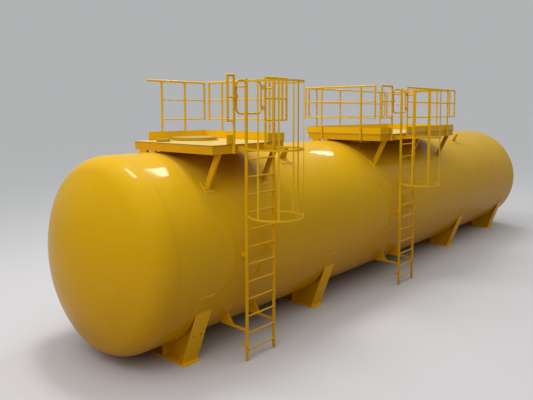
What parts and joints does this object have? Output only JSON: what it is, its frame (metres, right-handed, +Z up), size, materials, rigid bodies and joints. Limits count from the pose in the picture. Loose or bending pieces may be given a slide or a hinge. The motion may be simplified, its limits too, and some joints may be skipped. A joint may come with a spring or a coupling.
{
  "type": "horizontal pressure tank",
  "caption": "Long cylindrical steel pressure tank with domed ends on welded saddles, with caged ladders, railed access decks and swinging ladder gates on top.",
  "frame": {"origin": "on the floor below the middle of the tank, at the centre of the outermost anchor holes", "axes": "+X along the tank from the end with the first ladder, +Y away from the ladders, +Z up"},
  "size_m": [16.3902, 4.0886, 4.58],
  "materials": {
    "tank_yellow": "deep yellow gloss paint",
    "steelwork_yellow": "deep yellow semi-gloss paint",
    "tread_plate": "yellow painted raised-pattern plate, semi-gloss"
  },
  "bodies": {
    "tank": {"shell_course_1": "tank_yellow", "shell_course_2": "tank_yellow", "shell_course_3": "tank_yellow", "shell_course_4": "tank_yellow", "shell_course_5": "tank_yellow", "near_head": "tank_yellow", "far_head": "tank_yellow", "wear_plate_1": "tank_yellow", "wear_plate_2": "tank_yellow", "wear_plate_3": "tank_yellow", "wear_plate_4": "tank_yellow", "saddle_1": "steelwork_yellow", "saddle_2": "steelwork_yellow", "saddle_3": "steelwork_yellow", "saddle_4": "steelwork_yellow", "manhole_neck_1": "tank_yellow", "manhole_cover_1": "tank_yellow", "manhole_neck_2": "tank_yellow", "manhole_cover_2": "tank_yellow", "small_nozzle": "tank_yellow", "lifting_lugs": "steelwork_yellow", "ladder_1": "steelwork_yellow", "ladder_2": "steelwork_yellow", "ladder_brackets_1": "steelwork_yellow", "ladder_brackets_2": "steelwork_yellow", "cage_1": "steelwork_yellow", "cage_2": "steelwork_yellow", "deck_frame_1": "steelwork_yellow", "deck_frame_2": "steelwork_yellow", "deck_supports_1": "steelwork_yellow", "deck_supports_2": "steelwork_yellow", "deck_plate_1": "tread_plate", "deck_plate_2": "tread_plate", "toe_boards_1": "steelwork_yellow", "toe_boards_2": "steelwork_yellow", "guard_1_back": "steelwork_yellow", "guard_1_right": "steelwork_yellow", "guard_1_front_left": "steelwork_yellow", "guard_1_front_right": "steelwork_yellow", "guard_2_back": "steelwork_yellow", "guard_2_left": "steelwork_yellow", "guard_2_right": "steelwork_yellow", "guard_2_front_left": "steelwork_yellow", "guard_2_front_right": "steelwork_yellow"},
    "gate_1": {"gate_1": "steelwork_yellow"},
    "gate_2": {"gate_2": "steelwork_yellow"}
  },
  "joints": [
    {"name": "gate_1_hinge", "type": "hinge", "parent": "tank", "child": "gate_1", "pos_m": [-5.495, -1.5195, 4.226], "axis": [0, 0, -1], "range_deg": [0, 90]},
    {"name": "gate_2_hinge", "type": "hinge", "parent": "tank", "child": "gate_2", "pos_m": [-0.423, -1.5195, 4.226], "axis": [0, 0, -1], "range_deg": [0, 90]}
  ]
}
